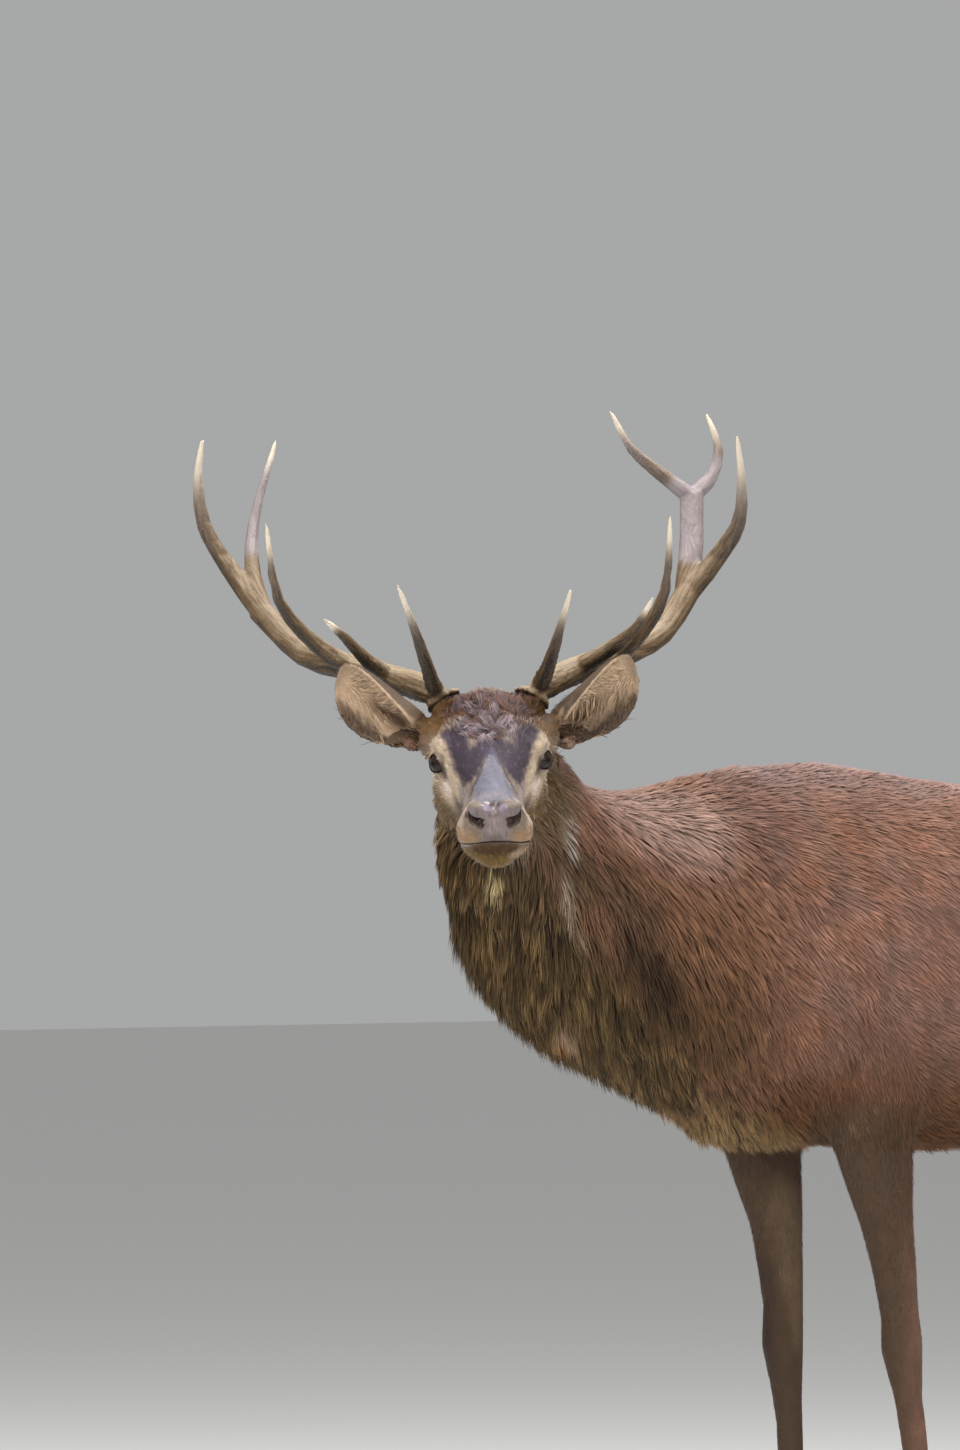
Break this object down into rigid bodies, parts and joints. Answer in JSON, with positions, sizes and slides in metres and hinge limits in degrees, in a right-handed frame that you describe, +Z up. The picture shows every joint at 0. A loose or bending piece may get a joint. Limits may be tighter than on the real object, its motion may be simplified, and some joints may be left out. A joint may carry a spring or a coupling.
{
  "type": "red deer stag",
  "caption": "Life-size still model of a standing red deer stag with branched antlers, its head turned to look back past its left shoulder.",
  "frame": {"origin": "on the floor, under the middle of the whole model's bounding box", "axes": "+Z up, -Y the way the body faces, +X the animal's left"},
  "size_m": [0.7748, 1.97, 1.792],
  "materials": {
    "coat": "short reddish brown hair, matt with a slight sheen",
    "mane": "long shaggy grey-brown hair",
    "face": "very short buff and charcoal hair, bare damp nose",
    "legs": "short brown hair",
    "ear": "short hair outside, pale wisps inside",
    "eye": "wet, glossy, almost black",
    "antler": "grooved bone, satin, stained brown with pale tips",
    "hoof": "dark horn, satin"
  },
  "bodies": {
    "root": {"antler_left_beam": "antler", "antler_left_bez_tine": "antler", "antler_left_brow_tine": "antler", "antler_left_crown_inner_tine": "antler", "antler_left_crown_outer_tine": "antler", "antler_left_crown_stem": "antler", "antler_left_outer_tine": "antler", "antler_left_trez_tine": "antler", "antler_right_beam": "antler", "antler_right_bez_tine": "antler", "antler_right_brow_tine": "antler", "antler_right_crown_tine": "antler", "antler_right_outer_tine": "antler", "antler_right_trez_tine": "antler", "dewclaw_fore_left_inner": "hoof", "dewclaw_fore_left_outer": "hoof", "dewclaw_fore_right_inner": "hoof", "dewclaw_fore_right_outer": "hoof", "dewclaw_hind_left_inner": "hoof", "dewclaw_hind_left_outer": "hoof", "dewclaw_hind_right_inner": "hoof", "dewclaw_hind_right_outer": "hoof", "ear_left": "ear", "ear_right": "ear", "eye_left": "eye", "eye_right": "eye", "foreleg_left_lower": "legs", "foreleg_left_upper": "legs", "foreleg_right_lower": "legs", "foreleg_right_upper": "legs", "head": "face", "hindleg_left_lower": "legs", "hindleg_left_upper": "legs", "hindleg_right_lower": "legs", "hindleg_right_upper": "legs", "hoof_fore_left_inner": "hoof", "hoof_fore_left_outer": "hoof", "hoof_fore_right_inner": "hoof", "hoof_fore_right_outer": "hoof", "hoof_hind_left_inner": "hoof", "hoof_hind_left_outer": "hoof", "hoof_hind_right_inner": "hoof", "hoof_hind_right_outer": "hoof", "neck": "mane", "tail": "coat", "trunk": "coat"}
  },
  "joints": []
}
